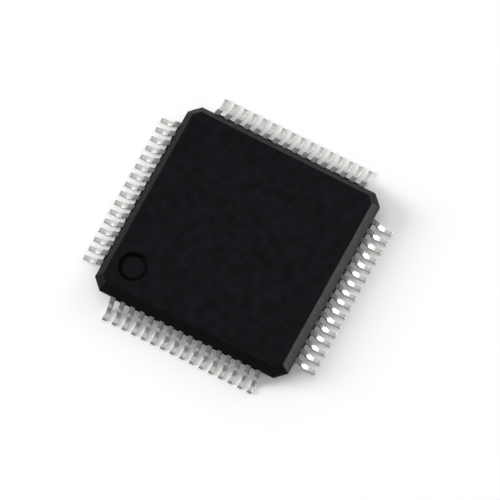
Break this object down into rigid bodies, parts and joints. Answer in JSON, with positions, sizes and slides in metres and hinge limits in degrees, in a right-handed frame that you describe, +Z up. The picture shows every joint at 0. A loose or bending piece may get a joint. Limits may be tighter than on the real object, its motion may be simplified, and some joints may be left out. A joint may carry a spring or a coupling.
{
  "type": "quad flat pack chip",
  "caption": "Thin square black moulded semiconductor package with fine gull wing leads bent out and down along all four sides, cut corners and a round dimple that marks pin 1.",
  "frame": {"origin": "centre of the seating plane, under the feet of the leads", "axes": "+Z up from the seating plane through the marked top face; the pin 1 corner is at -X, +Y; pins count anticlockwise from above, 1 to 16 down the -X side"},
  "size_m": [0.012, 0.012, 0.0011],
  "materials": {
    "moulding_compound": "satin black epoxy moulding compound, with the fine sparked texture of its mould",
    "tinned_lead": "matt tin plating over copper alloy",
    "copper_frame": "bare stamped copper alloy",
    "die_adhesive": "silver filled epoxy adhesive",
    "silicon": "polished silicon",
    "gold_wire": "drawn gold wire"
  },
  "bodies": {
    "root": {"mould_body": "moulding_compound", "leads_01_17_33_49": "tinned_lead", "leads_02_18_34_50": "tinned_lead", "leads_03_19_35_51": "tinned_lead", "leads_04_20_36_52": "tinned_lead", "leads_05_21_37_53": "tinned_lead", "leads_06_22_38_54": "tinned_lead", "leads_07_23_39_55": "tinned_lead", "leads_08_24_40_56": "tinned_lead", "leads_09_25_41_57": "tinned_lead", "leads_10_26_42_58": "tinned_lead", "leads_11_27_43_59": "tinned_lead", "leads_12_28_44_60": "tinned_lead", "leads_13_29_45_61": "tinned_lead", "leads_14_30_46_62": "tinned_lead", "leads_15_31_47_63": "tinned_lead", "leads_16_32_48_64": "tinned_lead", "die_pad": "copper_frame", "die_attach": "die_adhesive", "silicon_die": "silicon", "bond_wires_01_17_33_49": "gold_wire", "bond_wires_02_18_34_50": "gold_wire", "bond_wires_03_19_35_51": "gold_wire", "bond_wires_04_20_36_52": "gold_wire", "bond_wires_05_21_37_53": "gold_wire", "bond_wires_06_22_38_54": "gold_wire", "bond_wires_07_23_39_55": "gold_wire", "bond_wires_08_24_40_56": "gold_wire", "bond_wires_09_25_41_57": "gold_wire", "bond_wires_10_26_42_58": "gold_wire", "bond_wires_11_27_43_59": "gold_wire", "bond_wires_12_28_44_60": "gold_wire", "bond_wires_13_29_45_61": "gold_wire", "bond_wires_14_30_46_62": "gold_wire", "bond_wires_15_31_47_63": "gold_wire", "bond_wires_16_32_48_64": "gold_wire"}
  },
  "joints": []
}
